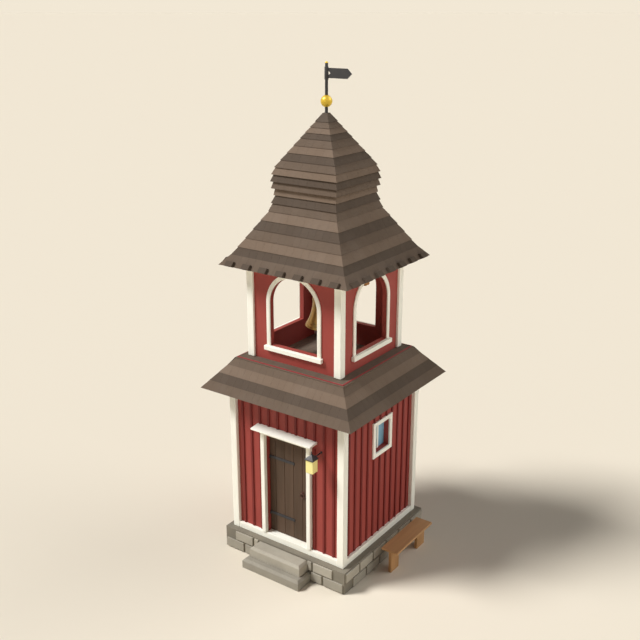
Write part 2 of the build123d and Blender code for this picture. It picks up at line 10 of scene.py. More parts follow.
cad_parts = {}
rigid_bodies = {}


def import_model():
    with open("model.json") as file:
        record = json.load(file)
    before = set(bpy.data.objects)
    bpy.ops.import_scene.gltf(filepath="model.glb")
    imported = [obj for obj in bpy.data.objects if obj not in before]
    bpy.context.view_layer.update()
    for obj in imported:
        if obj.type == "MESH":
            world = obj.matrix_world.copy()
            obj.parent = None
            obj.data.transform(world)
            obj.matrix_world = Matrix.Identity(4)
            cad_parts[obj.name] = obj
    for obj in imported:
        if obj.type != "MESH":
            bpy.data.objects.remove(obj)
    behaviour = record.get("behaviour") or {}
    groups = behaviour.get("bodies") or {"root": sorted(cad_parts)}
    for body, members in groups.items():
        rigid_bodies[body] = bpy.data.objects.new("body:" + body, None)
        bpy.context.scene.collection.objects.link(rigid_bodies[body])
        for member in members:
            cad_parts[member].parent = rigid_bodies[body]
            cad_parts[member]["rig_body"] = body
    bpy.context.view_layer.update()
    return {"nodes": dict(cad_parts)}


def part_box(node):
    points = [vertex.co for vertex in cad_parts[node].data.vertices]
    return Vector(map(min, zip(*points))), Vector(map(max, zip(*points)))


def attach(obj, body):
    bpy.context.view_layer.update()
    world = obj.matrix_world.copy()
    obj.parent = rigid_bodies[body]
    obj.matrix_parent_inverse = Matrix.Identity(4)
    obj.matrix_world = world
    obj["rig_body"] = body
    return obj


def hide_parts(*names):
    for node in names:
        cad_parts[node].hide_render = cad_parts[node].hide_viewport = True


# The looks of a timber bell tower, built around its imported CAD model. Everything is in metres,
# with +Z up; the door wall faces -Y and the window wall faces +X.

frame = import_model()
NODES = frame["nodes"]
SIDES = [Matrix.Rotation(math.radians(90 * turn), 4, "Z") for turn in range(4)]
FRONT, RIGHT = SIDES[0], SIDES[1]
FAR = 20.0                   # well outside the tower, for rays that measure the CAD model

# Boards and stones
BATTEN_PITCH = 0.192
BATTENS_EACH_WAY = 5         # either side of the middle of a wall
BATTEN_WIDE = 0.042
BATTEN_THICK = 0.022
BATTEN_CLEAR = 0.012         # wall board shown between a batten and a casing
STONE_PROUD = 0.024
STONE_LONG = 0.392
STONE_PITCH = 0.430
STONE_ROWS = ((0.020, 0.192), (0.218, 0.385))
# Darkens the lowest row of stones: painted shade near the ground
LOW_STONE_PAINTED_SHADE = -0.14
STEP_CHAMFER = 0.040
FLOOR_BOARD = 0.145
FLOOR_GAP = 0.003

# Doorway
HOOD_FALL = 0.018            # from the wall to the front edge of the hood's top
HOOD_EASE = 0.004
MOULD_FILLET = 0.010
MOULD_LIP = 0.012
COVE_STEPS = 8
FILLET_OUT = 0.12            # these three are shares of how far the moulding stands out
COVE_START = 0.22
COVE_REACH = 0.62
PLANK_JOINTS = (-0.312, -0.120, 0.072, 0.264)
PLANK_THICK = 0.027
PLANK_GAP = 0.005
TONGUE_THICK = 0.008
TONGUE_LAP = 0.02            # past the outermost joints
# The tongue board behind the plank joints is darkened: painted shade in the joints
TONGUE_PAINTED_SHADE = -0.7
LEDGE_HIGH = 0.13
LEDGE_INSET = 0.03
LEDGE_SHARES = (0.12, 0.5, 0.86)    # of the leaf's height
STRAP_HIGH = 0.048
STRAP_OUT = 0.012
NAILS_A_STRAP = 6
NAIL_START = 0.05            # from the pintle to the first nail
NAIL_PITCH = 0.078
NAIL_HEAD = ((0.0, 0.002), (0.005, 0.0018), (0.0085, 0.001), (0.009, 0.0), (0.0, -0.001))

# Roof courses: how many there are of each height, from the eave up
HELM_COURSES = ((6, 0.1438), (2, 0.130), (8, 0.1133), (3, 0.085))
SKIRT_COURSES = 4
COURSE_TONES = (0.0, -0.35, 0.38)
BUTT_UPRIGHT = 0.036         # how much of a course's butt shows on an upright face
BUTT_PER_SLOPE = 0.054       # and how much less on a sloping one
BUTT_LEAST = 0.012
EAVE_BOARD_PROUD = 0.006     # the lowest course's top over the butt of the next
SHINGLE_WIDE = 0.150
SHINGLE_GAP = 0.0016
EAVE_BLOCKS = 7
EAVE_BLOCK_PITCH = 0.345
EAVE_BLOCK_WIDE = 0.150
EAVE_BLOCK_LONG = 0.100      # up the slope
EAVE_BLOCK_PROUD = 0.048
EAVE_BLOCK_OVER = 0.018      # past the edge of the lowest course
# The eave blocks are darkened: painted shade standing in for the shade on their fronts
EAVE_BLOCK_PAINTED_SHADE = -0.38
COURSE_LAP = 0.02
COURSE_THICK = 0.045
HELM_LINING_DEEP = 0.080     # outside of the helm to the inside of its lining
SKIRT_BUTT = 0.007
SKIRT_LINING_DEEP = 0.078

# Camera and lights
CAMERA_AT = (8.434, -12.036, 9.390)
CAMERA_AZIMUTH = 35.42
CAMERA_PITCH = 19.21
CAMERA_LENS = 51.01
FLOOR_REACH = 3000.0
GLOW_STRENGTH = 0.03
SUNS = (                     # name, azimuth, elevation, strength, softness
    ("key_light", 222.5, 48.0, 3.60, 18.0),
    ("front_light", 262.0, 12.0, 0.24, 60.0),
    ("side_light", 345.0, 12.0, 0.40, 60.0),
    ("back_light", 43.0, 34.0, 1.05, 50.0),
)


# Measuring the CAD model

def corners(node):
    low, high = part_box(node)
    return Vector(low), Vector(high)


def faces_of(*nodes):
    """A tree of CAD faces that rays can be cast at."""
    points, faces = [], []
    for node in nodes:
        start = len(points)
        points += [vertex.co.copy() for vertex in NODES[node].data.vertices]
        faces += [[start + index for index in face.vertices] for face in NODES[node].data.polygons]
    return BVHTree.FromPolygons(points, faces)


def half_width(tree, height):
    """How far from the axis, towards +X, a CAD surface is at a height."""
    hit = tree.ray_cast(Vector((FAR, 0.0, height)), Vector((-1.0, 0.0, 0.0)))[0]
    return hit.x


# Meshes

class Shape:
    """A mesh in the making. Each face has a tone, a shift in brightness, and an edge mark."""

    def __init__(self):
        self.mesh = bmesh.new()
        self.tone = self.mesh.faces.layers.float.new("tone")
        self.edge = self.mesh.faces.layers.float.new("edge")

    def add(self, points, faces, tone=0.0, edges=()):
        """Points and the faces between them; edges holds the numbers of the eased faces."""
        vertices = [self.mesh.verts.new(point) for point in points]
        for number, face in enumerate(faces):
            made = self.mesh.faces.new([vertices[index] for index in face])
            made[self.tone] = tone
            made[self.edge] = 1.0 if number in edges else 0.0

    def board(self, low, high, ease=0.004, tone=0.0, place=FRONT):
        """A board or block between two corners, with its edges eased."""
        middle = (Vector(low) + Vector(high)) / 2
        half = (Vector(high) - Vector(low)) / 2
        ease = min(ease, 0.45 * min(half))
        points = []
        for signs, eased in BOARD_POINTS:
            spot = [sign * (size - ease * cut) for sign, size, cut in zip(signs, half, eased)]
            points.append(place @ (middle + Vector(spot)))
        self.add(points, BOARD_FACES, tone, BOARD_EASED)

    def block(self, low, high, tone=0.0):
        """A plain box between two corners."""
        points = [(x, y, z) for x in (low[0], high[0]) for y in (low[1], high[1])
                  for z in (low[2], high[2])]
        self.add(points, [(0, 1, 3, 2), (4, 6, 7, 5), (0, 4, 5, 1), (2, 3, 7, 6), (0, 2, 6, 4),
                          (1, 5, 7, 3)], tone)

    def sharp_edges(self):
        bmesh.ops.recalc_face_normals(self.mesh, faces=self.mesh.faces)
        return [edge for edge in self.mesh.edges if edge.calc_face_angle(0.0) > math.radians(30)]

    def ease(self, edges, width, segments=2):
        """Cut edges back, and mark the faces that makes."""
        made = bmesh.ops.bevel(self.mesh, geom=edges, offset=width, segments=segments,
                               profile=0.5, affect="EDGES", clamp_overlap=True)["faces"]
        for face in made:
            face[self.edge] = 1.0

    def prism(self, outline, start, end, tone=0.0, place=FRONT):
        """An outline of points, given by a function of the distance, between two distances."""
        first = [place @ Vector(point) for point in outline(start)]
        last = [place @ Vector(point) for point in outline(end)]
        count = len(first)
        sides = [(i, (i + 1) % count, count + (i + 1) % count, count + i) for i in range(count)]
        ends = [tuple(reversed(range(count))), tuple(range(count, 2 * count))]
        self.add(first + last, sides + ends, tone)

    def lathe(self, profile, centre, steps=48, tone=0.0, place=FRONT):
        """A profile of (radius, height) points turned about an upright axis; closed if hollow."""
        points, rings = [], []
        for radius, height in profile:
            if radius < 1e-6:
                rings.append([len(points)] * steps)
                points.append(place @ (Vector(centre) + Vector((0.0, 0.0, height))))
                continue
            rings.append(list(range(len(points), len(points) + steps)))
            for step in range(steps):
                turn = 2 * math.pi * step / steps
                spot = Vector((radius * math.cos(turn), radius * math.sin(turn), height))
                points.append(place @ (Vector(centre) + spot))
        faces = []
        closed = profile[0][0] > 1e-6
        pairs = list(zip(rings, rings[1:])) + ([(rings[-1], rings[0])] if closed else [])
        for lower, upper in pairs:
            for step in range(steps):
                after = (step + 1) % steps
                corners_of = (lower[step], lower[after], upper[after], upper[step])
                faces.append(tuple(dict.fromkeys(corners_of)))
        self.add(points, faces, tone)


def board_template():
    """The points and faces of a box with eased edges: signs, and what is cut back on each axis."""
    mesh = bmesh.new()
    bmesh.ops.create_cube(mesh, size=2.0)
    eased = bmesh.ops.bevel(mesh, geom=mesh.edges[:], offset=0.5, segments=2, profile=0.5,
                            affect="EDGES")["faces"]
    mesh.verts.index_update()
    points = []
    for vertex in mesh.verts:
        signs = [math.copysign(1.0, value) for value in vertex.co]
        points.append((signs, [2.0 * (1.0 - abs(value)) for value in vertex.co]))
    faces = [tuple(vertex.index for vertex in face.verts) for face in mesh.faces]
    marked = {number for number, face in enumerate(mesh.faces) if face in eased}
    mesh.free()
    return points, faces, marked


BOARD_POINTS, BOARD_FACES, BOARD_EASED = board_template()


def eased_copy(node, ease=0.006):
    """A CAD node's own mesh with its sharp edges eased."""
    shape = Shape()
    mesh = shape.mesh
    mesh.from_mesh(NODES[node].data)
    bmesh.ops.remove_doubles(mesh, verts=mesh.verts, dist=1e-5)
    bmesh.ops.dissolve_limit(mesh, angle_limit=math.radians(0.5), verts=mesh.verts,
                             edges=mesh.edges)
    shape.ease(shape.sharp_edges(), ease)
    return shape


def add_piece(name, shape, look, node, replaced=(), smooth=False):
    """Make an object that moves with a CAD node and wears the given material."""
    bmesh.ops.recalc_face_normals(shape.mesh, faces=shape.mesh.faces)
    mesh = bpy.data.meshes.new(name)
    shape.mesh.to_mesh(mesh)
    shape.mesh.free()
    if smooth:
        mesh.shade_smooth()
        mesh.set_sharp_from_angle(angle=math.radians(30))
    mesh.materials.append(look)
    piece = bpy.data.objects.new(name, mesh)
    bpy.context.scene.collection.objects.link(piece)
    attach(piece, NODES[node]["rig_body"])
    if replaced:
        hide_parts(*replaced)
    return piece


def stand_in(name, shape, look, *nodes, smooth=False):
    """A piece that is shown in place of CAD nodes."""
    return add_piece(name, shape, look, nodes[0], nodes, smooth)


def paint_node(node, look):
    """Give a CAD node that stays a procedural material."""
    data = NODES[node].data
    data.materials.clear()
    data.materials.append(look)


# Materials

def display(red, green, blue):
    """A colour as a screen shows it, from 0 to 255, as linear light."""
    return [((value / 255 + 0.055) / 1.055) ** 2.4 if value > 10 else value / 3295
            for value in (red, green, blue)]


class Look:
    """A material whose colour, roughness and relief are worked out by nodes."""

    def __init__(self, name, metallic=0.0, specular=0.5):
        self.material = bpy.data.materials.new(name)
        self.material.use_nodes = True
        self.nodes = self.material.node_tree.nodes
        self.links = self.material.node_tree.links
        self.shader = self.nodes["Principled BSDF"]
        self.shader.inputs["Metallic"].default_value = metallic
        self.shader.inputs["Specular IOR Level"].default_value = specular
        self.place = self.node("ShaderNodeTexCoord").outputs["Object"]

    def node(self, kind, inputs=None, **settings):
        made = self.nodes.new(kind)
        for key, value in settings.items():
            setattr(made, key, value)
        for key, value in (inputs or {}).items():
            self.feed(made.inputs[key], value)
        return made

    def feed(self, socket, value):
        """Link a socket to an output, or give it a plain value."""
        if isinstance(value, bpy.types.NodeSocket):
            self.links.new(value, socket)
        else:
            socket.default_value = value

    def noise(self, stretch, detail=4.0, rough=0.55, warp=0.0):
        """Noise from 0 to 1, with so many features a metre along each axis."""
        mapped = self.node("ShaderNodeMapping", {"Vector": self.place, "Scale": stretch})
        made = self.node("ShaderNodeTexNoise", {"Vector": mapped.outputs[0], "Scale": 1.0,
                                                "Detail": detail, "Roughness": rough,
                                                "Distortion": warp})
        return made.outputs["Fac"]

    def maths(self, operation, first, second=0.0):
        made = self.node("ShaderNodeMath", operation=operation)
        self.feed(made.inputs[0], first)
        self.feed(made.inputs[1], second)
        return made.outputs[0]

    def swing(self, value, amount, middle=0.5):
        """A value from 0 to 1 as a shift either side of nothing."""
        return self.maths("MULTIPLY", self.maths("SUBTRACT", value, middle), 2.0 * amount)

    def ramp(self, value, low, high, bottom=0.0, top=1.0):
        made = self.node("ShaderNodeMapRange", {"Value": value, "From Min": low,
                                                "From Max": high, "To Min": bottom,
                                                "To Max": top}, interpolation_type="SMOOTHSTEP")
        return made.outputs[0]

    def face_value(self, name):
        return self.node("ShaderNodeAttribute", attribute_name=name).outputs["Fac"]

    def mixed(self, factor, first, second):
        made = self.node("ShaderNodeMix", data_type="RGBA")
        self.feed(made.inputs["Factor"], factor)
        for socket, value in ((made.inputs[6], first), (made.inputs[7], second)):
            plain = not isinstance(value, bpy.types.NodeSocket)
            self.feed(socket, (*value, 1.0) if plain else value)
        return made.outputs[2]

    def finish(self, colour, shifts, roughness, relief, depth):
        """Join the colour, its brightness shifts, the roughness and the relief to the shader."""
        bright = self.maths("ADD", 1.0, self.face_value("tone"))
        for shift in shifts:
            bright = self.maths("ADD", bright, shift)
        scaled = self.node("ShaderNodeVectorMath", operation="SCALE")
        self.feed(scaled.inputs[0], colour)
        self.feed(scaled.inputs["Scale"], bright)
        self.feed(self.shader.inputs["Base Color"], scaled.outputs[0])
        self.feed(self.shader.inputs["Roughness"], roughness)
        bump = self.node("ShaderNodeBump", {"Height": relief, "Distance": depth, "Strength": 1.0})
        self.feed(self.shader.inputs["Normal"], bump.outputs[0])
        return self.material


def grain_stretch(along, fine):
    """Noise scales for grain along an axis: fine across it, long along it."""
    return tuple(fine * 0.06 if axis == along else fine for axis in range(3))


def painted_wood(name, colour, faded, along=2, grain=0.05, fine=60.0):
    """Paint over boards: faint grain, broad fading, and rubbed edges."""
    look = Look(name, specular=0.25)
    lines = look.noise(grain_stretch(along, fine), 5.0, 0.6, 0.3)
    patches = look.noise((1.3, 1.3, 0.7), 3.0)
    base = look.mixed(look.ramp(patches, 0.35, 0.75), display(*colour), display(*faded))
    worn = look.maths("MULTIPLY", look.face_value("edge"), look.ramp(lines, 0.35, 0.7, 0.0, 0.10))
    rough = look.ramp(lines, 0.2, 0.8, 0.50, 0.68)
    return look.finish(base, [look.swing(lines, grain), worn], rough, lines, 0.0012)


def bare_wood(name, light, dark, along, fine=34.0, grain=0.16):
    """Oiled or weathered timber: strong grain, with streaks of a darker colour."""
    look = Look(name, specular=0.25)
    lines = look.noise(grain_stretch(along, fine), 7.0, 0.62, 0.6)
    streaks = look.noise(grain_stretch(along, fine / 5), 3.0)
    base = look.mixed(look.ramp(streaks, 0.3, 0.72), display(*light), display(*dark))
    worn = look.maths("MULTIPLY", look.face_value("edge"), 0.08)
    rough = look.ramp(lines, 0.25, 0.75, 0.48, 0.72)
    return look.finish(base, [look.swing(lines, grain), worn], rough, lines, 0.0022)


def red_paint(name, colour, faded):
    """The wall boards' red paint, with a slight change from each board to the next."""
    look = Look(name, specular=0.5)
    lines = look.noise(grain_stretch(2, 60.0), 5.0, 0.6, 0.3)
    patches = look.noise((1.1, 1.1, 0.6), 3.0)
    axes = look.node("ShaderNodeSeparateXYZ", {"Vector": look.place}).outputs
    index = look.maths("ADD", look.maths("FLOOR", look.maths("DIVIDE", axes[0], BATTEN_PITCH)),
                       look.maths("FLOOR", look.maths("DIVIDE", axes[1], BATTEN_PITCH)))
    board = look.node("ShaderNodeTexWhiteNoise", {"W": index}, noise_dimensions="1D")
    base = look.mixed(look.ramp(patches, 0.35, 0.75), display(*colour), display(*faded))
    shifts = [look.swing(lines, 0.06), look.swing(board.outputs["Value"], 0.035),
              look.maths("MULTIPLY", look.face_value("edge"), 0.05)]
    rough = look.ramp(lines, 0.2, 0.8, 0.58, 0.75)
    return look.finish(base, shifts, rough, lines, 0.0014)


def shingle_wood(name, colour, silvered):
    """Weathered shingles: grain down the slope, and silvered patches."""
    look = Look(name, specular=0.5)
    lines = look.noise(grain_stretch(2, 70.0), 6.0, 0.6, 0.4)
    patches = look.noise((2.2, 2.2, 1.6), 4.0)
    base = look.mixed(look.ramp(patches, 0.38, 0.8), display(*colour), display(*silvered))
    rough = look.ramp(lines, 0.2, 0.8, 0.86, 1.0)
    return look.finish(base, [look.swing(lines, 0.09)], rough, lines, 0.002)


def stone(name, colour, other):
    """Dressed stone: speckles, stains and a slightly pitted face."""
    look = Look(name, specular=0.12)
    speckles = look.noise((90.0, 90.0, 90.0), 4.0, 0.7)
    stains = look.noise((3.0, 3.0, 4.0), 4.0)
    pits = look.noise((24.0, 24.0, 24.0), 5.0, 0.6)
    base = look.mixed(look.ramp(stains, 0.32, 0.72), display(*colour), display(*other))
    worn = look.maths("MULTIPLY", look.face_value("edge"), 0.05)
    shifts = [look.swing(speckles, 0.07), look.swing(pits, 0.05), worn]
    rough = look.ramp(pits, 0.2, 0.8, 0.78, 0.92)
    return look.finish(base, shifts, rough, look.maths("ADD", pits, speckles), 0.003)


def metal(name, colour, other, metallic, smooth, rough, fine=40.0, change=0.06):
    """Metal with a hammered or cast face and slightly brighter edges."""
    look = Look(name, metallic)
    marks = look.noise((fine, fine, fine), 4.0)
    stains = look.noise((9.0, 9.0, 6.0), 4.0)
    base = look.mixed(look.ramp(stains, 0.4, 0.75), display(*colour), display(*other))
    worn = look.maths("MULTIPLY", look.face_value("edge"), 0.25)
    shifts = [look.swing(marks, change), worn]
    shine = look.ramp(stains, 0.25, 0.75, smooth, rough)
    return look.finish(base, shifts, shine, marks, 0.0006)


def pane_glass(name):
    """Old window glass whose pale blue colour is a painted sky reflection, lighter towards the top,
    with a faint ripple.
    """
    look = Look(name, specular=0.6)
    ripple = look.noise((7.0, 7.0, 2.5), 2.0)
    height = look.node("ShaderNodeSeparateXYZ", {"Vector": look.place}).outputs[2]
    # Painted reflection: pale sky blue, growing lighter towards the top of the pane
    base = look.mixed(look.ramp(height, 2.10, 2.65), display(142, 194, 222), display(148, 200, 226))
    return look.finish(base, [look.swing(ripple, 0.10)], look.ramp(ripple, 0.2, 0.8, 0.05, 0.10),
                       ripple, 0.002)


def lamp_glass(name, middle):
    """Frosted amber panes, lit from the middle of the lantern."""
    look = Look(name)
    frost = look.noise((110.0, 110.0, 110.0), 3.0)
    away = look.node("ShaderNodeVectorMath", {0: look.place, 1: middle}, operation="DISTANCE")
    glow = look.ramp(away.outputs["Value"], 0.06, 0.14, 1.0, 0.55)
    base = look.mixed(frost, display(240, 230, 150), display(246, 236, 162))
    look.feed(look.shader.inputs["Emission Color"], look.mixed(glow, display(226, 150, 60),
                                                               display(255, 214, 110)))
    look.feed(look.shader.inputs["Emission Strength"], look.maths("MULTIPLY", glow, 0.08))
    return look.finish(base, [look.swing(frost, 0.05)], look.ramp(frost, 0.3, 0.7, 0.3, 0.45),
                       frost, 0.0006)


LOOKS = {
    "red_boards": red_paint("red_paint", (152, 58, 50), (158, 66, 57)),
    "battens": painted_wood("batten_paint", (118, 42, 38), (124, 48, 43), grain=0.08),
    "strip": painted_wood("strip_paint", (140, 50, 52), (132, 46, 48), 0),
    "white_wood": painted_wood("white_paint", (253, 251, 239), (249, 246, 232)),
    "white_wood_level": painted_wood("white_paint_level", (253, 251, 239), (249, 246, 232), 0),
    "door_wood": bare_wood("door_stain", (89, 70, 56), (76, 60, 47), 2),
    "floor_wood": bare_wood("floor_boards", (130, 114, 100), (112, 98, 86), 1),
    "beam_wood": bare_wood("beam_oil", (190, 136, 82), (160, 106, 60), 0),
    "bench_wood": bare_wood("bench_oil", (194, 150, 104), (176, 134, 92), 1),
    "bench_leg_wood": bare_wood("bench_leg_oil", (192, 146, 98), (174, 130, 86), 2),
    "shingles": shingle_wood("shingles", (101, 85, 71), (106, 91, 78)),
    "cap_shingles": shingle_wood("cap_shingles", (84, 72, 62), (92, 80, 69)),
    "stone": stone("plinth_stones", (176, 169, 154), (166, 159, 145)),
    "base_stone": stone("plinth_core", (133, 126, 112), (124, 118, 106)),
    "iron": metal("black_iron", (50, 49, 52), (58, 56, 57), 0.1, 0.45, 0.6),
    "brown_iron": metal("brown_iron", (84, 50, 36), (68, 44, 34), 0.1, 0.45, 0.6),
    "gilding": metal("gilding", (226, 192, 66), (216, 180, 58), 0.5, 0.26, 0.38, 20.0, 0.03),
    "bronze": metal("bell_bronze", (190, 150, 84), (150, 128, 82), 0.85, 0.34, 0.5, 26.0),
    "glass": pane_glass("window_panes"),
}


# Stone base

def stone_centres(row):
    """Where the stones of a row are, from the middle of a wall out."""
    if row == 0:
        return [(number - 2.5) * STONE_PITCH for number in range(6)]
    return [(number - 2.0) * STONE_PITCH for number in range(5)]


def beside(start, end, half):
    """The parts of a stone's length that a step of this half-width doesn't hide."""
    for left, right in ((start, min(end, -half)), (max(start, half), end)):
        if right - left > 0.03:
            yield left, right


def build_plinth():
    """A core with two rows of stones standing out of it on each side."""
    low, high = corners("plinth")
    core = Shape()
    core.board(low, high, 0.006)
    stand_in("plinth_core", core, LOOKS["base_stone"], "plinth")
    steps = [corners(node)[1].x for node in ("step_lower", "step_upper")]
    stones = Shape()
    chance = random.Random(3)
    for turn, place in enumerate(SIDES):
        for number, (bottom, top) in enumerate(STONE_ROWS):
            for middle in stone_centres((number + turn) % 2):
                span = (middle - STONE_LONG / 2, middle + STONE_LONG / 2)
                # The lowest row is made darker as painted shade near the ground; the random part is
                # each stone's own tone
                shade = chance.uniform(-0.05, 0.05) + LOW_STONE_PAINTED_SHADE * (number == 0)
                for start, end in [span] if turn else beside(*span, steps[number]):
                    stones.board((start, low.y - STONE_PROUD, bottom), (end, low.y + 0.02, top),
                                 0.010, shade, place)
    add_piece("plinth_stones", stones, LOOKS["stone"], "plinth")


def build_steps():
    """Steps with a broad chamfer round their treads."""
    # The lower step is made darker: painted shade near the ground
    for node, shade in (("step_lower", -0.24), ("step_upper", 0.0)):
        low, high = corners(node)
        step = Shape()
        step.block(low, high, shade)
        trodden = []
        for edge in step.mesh.edges:
            middle = (edge.verts[0].co + edge.verts[1].co) / 2
            if middle.z > high.z - 0.001 and middle.y < high.y - 0.001:
                trodden.append(edge)
        step.ease(trodden, STEP_CHAMFER, 1)
        step.ease(step.sharp_edges(), 0.005)
        stand_in(node + "_stone", step, LOOKS["stone"], node)


# Lower storey

def batten_gaps(turn):
    """The heights, for each batten of a wall, that casings and the hood leave free."""
    bottom = corners("base_boards")[1].z
    wall = corners("right_wall")[1].x
    skirt = faces_of("skirt_sides")
    under = Vector((wall + BATTEN_THICK, 0.0, corners("skirt_sides")[0].z - 1.0))
    top = skirt.ray_cast(under, Vector((0.0, 0.0, 1.0)))[0].z
    hood_low, hood_high = corners("door_hood")
    jamb = corners("door_jambs")[1].x
    frame_low, frame_high = corners("window_frame")
    for number in range(-BATTENS_EACH_WAY, BATTENS_EACH_WAY + 1):
        x = number * BATTEN_PITCH
        reach = BATTEN_WIDE / 2 + BATTEN_CLEAR
        if turn == 0 and abs(x) < jamb + reach:
            yield x, [(hood_high.z, top)]
        elif turn == 0 and abs(x) < hood_high.x + reach:
            yield x, [(bottom, hood_low.z), (hood_high.z, top)]
        elif turn == 1 and frame_low.y - reach < x < frame_high.y + reach:
            yield x, [(bottom, frame_low.z), (frame_high.z, top)]
        else:
            yield x, [(bottom, top)]


def build_battens():
    wall = corners("right_wall")[1].x
    battens = Shape()
    chance = random.Random(5)
    for turn, place in enumerate(SIDES):
        for x, gaps in batten_gaps(turn):
            shade = chance.uniform(-0.06, 0.06)
            for bottom, top in gaps:
                low = (x - BATTEN_WIDE / 2, -wall - BATTEN_THICK, bottom)
                battens.board(low, (x + BATTEN_WIDE / 2, -wall, top), 0.004, shade, place)
    add_piece("wall_battens", battens, LOOKS["battens"], "front_wall_left")


def build_lower_storey():
    for node in ("front_wall_left", "front_wall_right", "front_wall_head", "right_wall",
                 "back_wall", "left_wall"):
        paint_node(node, LOOKS["red_boards"])
    stand_in("corner_posts", eased_copy("lower_posts", 0.008), LOOKS["white_wood"], "lower_posts")
    stand_in("base_ledges", eased_copy("base_boards", 0.006), LOOKS["white_wood_level"],
             "base_boards")
    build_battens()
    build_floor("ground_floor", "ground_boards")


def build_floor(node, name):
    """Floor boards that run front to back, with thin gaps."""
    low, high = corners(node)
    count = round((high.x - low.x) / FLOOR_BOARD)
    wide = (high.x - low.x) / count
    boards = Shape()
    chance = random.Random(7)
    for number in range(count):
        start = low.x + number * wide
        boards.board((start + FLOOR_GAP / 2, low.y, low.z),
                     (start + wide - FLOOR_GAP / 2, high.y, high.z),
                     0.003, chance.uniform(-0.14, 0.10))
    stand_in(name, boards, LOOKS["floor_wood"], node)


# Doorway, door and hood

def hood_layers():
    """The half-width, depth, foot and top of each layer of the CAD hood, from the foot up."""
    wall = corners("right_wall")[1].x
    tree = faces_of("door_hood")
    levels = sorted({round(vertex.co.z, 4) for vertex in NODES["door_hood"].data.vertices})
    for bottom, top in zip(levels, levels[1:]):
        height = (bottom + top) / 2
        side = tree.ray_cast(Vector((FAR, -wall - 0.01, height)), Vector((-1.0, 0.0, 0.0)))[0]
        face = tree.ray_cast(Vector((0.0, -FAR, height)), Vector((0.0, 1.0, 0.0)))[0]
        yield side.x, -face.y - wall, bottom, top


def build_hood():
    """A frieze, a hollow moulding between two fillets, and a board whose top falls outwards."""
    wall = corners("right_wall")[1].x
    frieze, mould, board = hood_layers()
    hood = Shape()
    half, out, bottom, top = board
    section = [(-wall, bottom), (-wall - out, bottom), (-wall - out, top - HOOD_FALL),
               (-wall, top)]
    hood.prism(lambda x: [(x, face, height) for face, height in section], -half, half)
    hood.ease(hood.sharp_edges(), HOOD_EASE)
    half, out, bottom, top = frieze
    hood.board((-half, -wall - out, bottom), (half, -wall, top), HOOD_EASE)
    bottom, top = mould[2], mould[3]
    curve = [(FILLET_OUT, bottom), (FILLET_OUT, bottom + MOULD_FILLET)]
    for step in range(COVE_STEPS + 1):
        turn = math.radians(90 * step / COVE_STEPS)
        rise = bottom + MOULD_FILLET + (top - bottom - MOULD_FILLET - MOULD_LIP) * math.sin(turn)
        curve.append((COVE_START + COVE_REACH * (1 - math.cos(turn)), rise))
    curve += [(1.0, top - MOULD_LIP), (1.0, top)]
    points = []
    for share, height in curve:
        half = frieze[0] + (mould[0] - frieze[0]) * share
        face = -wall - frieze[1] - (mould[1] - frieze[1]) * share
        points += [(-half, -wall, height), (-half, face, height), (half, face, height),
                   (half, -wall, height)]
    count = len(curve) - 1
    faces = [(4 * k + i, 4 * k + (i + 1) % 4, 4 * k + 4 + (i + 1) % 4, 4 * k + 4 + i)
             for k in range(count) for i in range(4)]
    hood.add(points, faces + [(3, 2, 1, 0), tuple(4 * count + i for i in range(4))])
    stand_in("hood_mouldings", hood, LOOKS["white_wood_level"], "door_hood")


def build_leaf():
    """Upright planks over a tongue board darkened as painted shade for the joints, held by ledges
    on the inside.
    """
    low, high = corners("door_leaf")
    edges = [low.x, *PLANK_JOINTS, high.x]
    leaf = Shape()
    chance = random.Random(11)
    for left, right in zip(edges, edges[1:]):
        leaf.board((left + PLANK_GAP / 2, low.y, low.z),
                   (right - PLANK_GAP / 2, low.y + PLANK_THICK, high.z),
                   0.006, chance.uniform(-0.07, 0.07))
    # Its dark tone is painted shade seen through the joints between the planks
    tongue = low.y + PLANK_THICK / 2
    leaf.board((edges[1] - TONGUE_LAP, tongue, low.z + 0.002),
               (edges[-2] + TONGUE_LAP, tongue + TONGUE_THICK, high.z - 0.002),
               0.001, TONGUE_PAINTED_SHADE)
    for share in LEDGE_SHARES:
        middle = low.z + share * (high.z - low.z)
        leaf.board((low.x + LEDGE_INSET, low.y + PLANK_THICK, middle - LEDGE_HIGH / 2),
                   (high.x - LEDGE_INSET, high.y, middle + LEDGE_HIGH / 2), 0.004, -0.05)
    stand_in("door_planks", leaf, LOOKS["door_wood"], "door_leaf")


def build_straps():
    """Long straps that end in a rounded point, with rows of nail heads."""
    low, high = corners("hinge_straps")
    leaf_face = corners("door_leaf")[0].y
    pintle = corners("hinge_pintles")
    straps = eased_copy("hinge_straps", 0.005)
    for middle in (low.z + STRAP_HIGH / 2, high.z - STRAP_HIGH / 2):
        for number in range(NAILS_A_STRAP):
            x = pintle[1].x + NAIL_START + number * NAIL_PITCH
            turn = Matrix.Translation((x, leaf_face - STRAP_OUT, middle)) @ Matrix.Rotation(
                math.radians(90), 4, "X")
            straps.lathe(NAIL_HEAD, (0, 0, 0), 12, 0.1, turn)
    stand_in("strap_hinges", straps, LOOKS["iron"], "hinge_straps")
    stand_in("pintles", eased_copy("hinge_pintles", 0.001), LOOKS["iron"], "hinge_pintles",
             smooth=True)


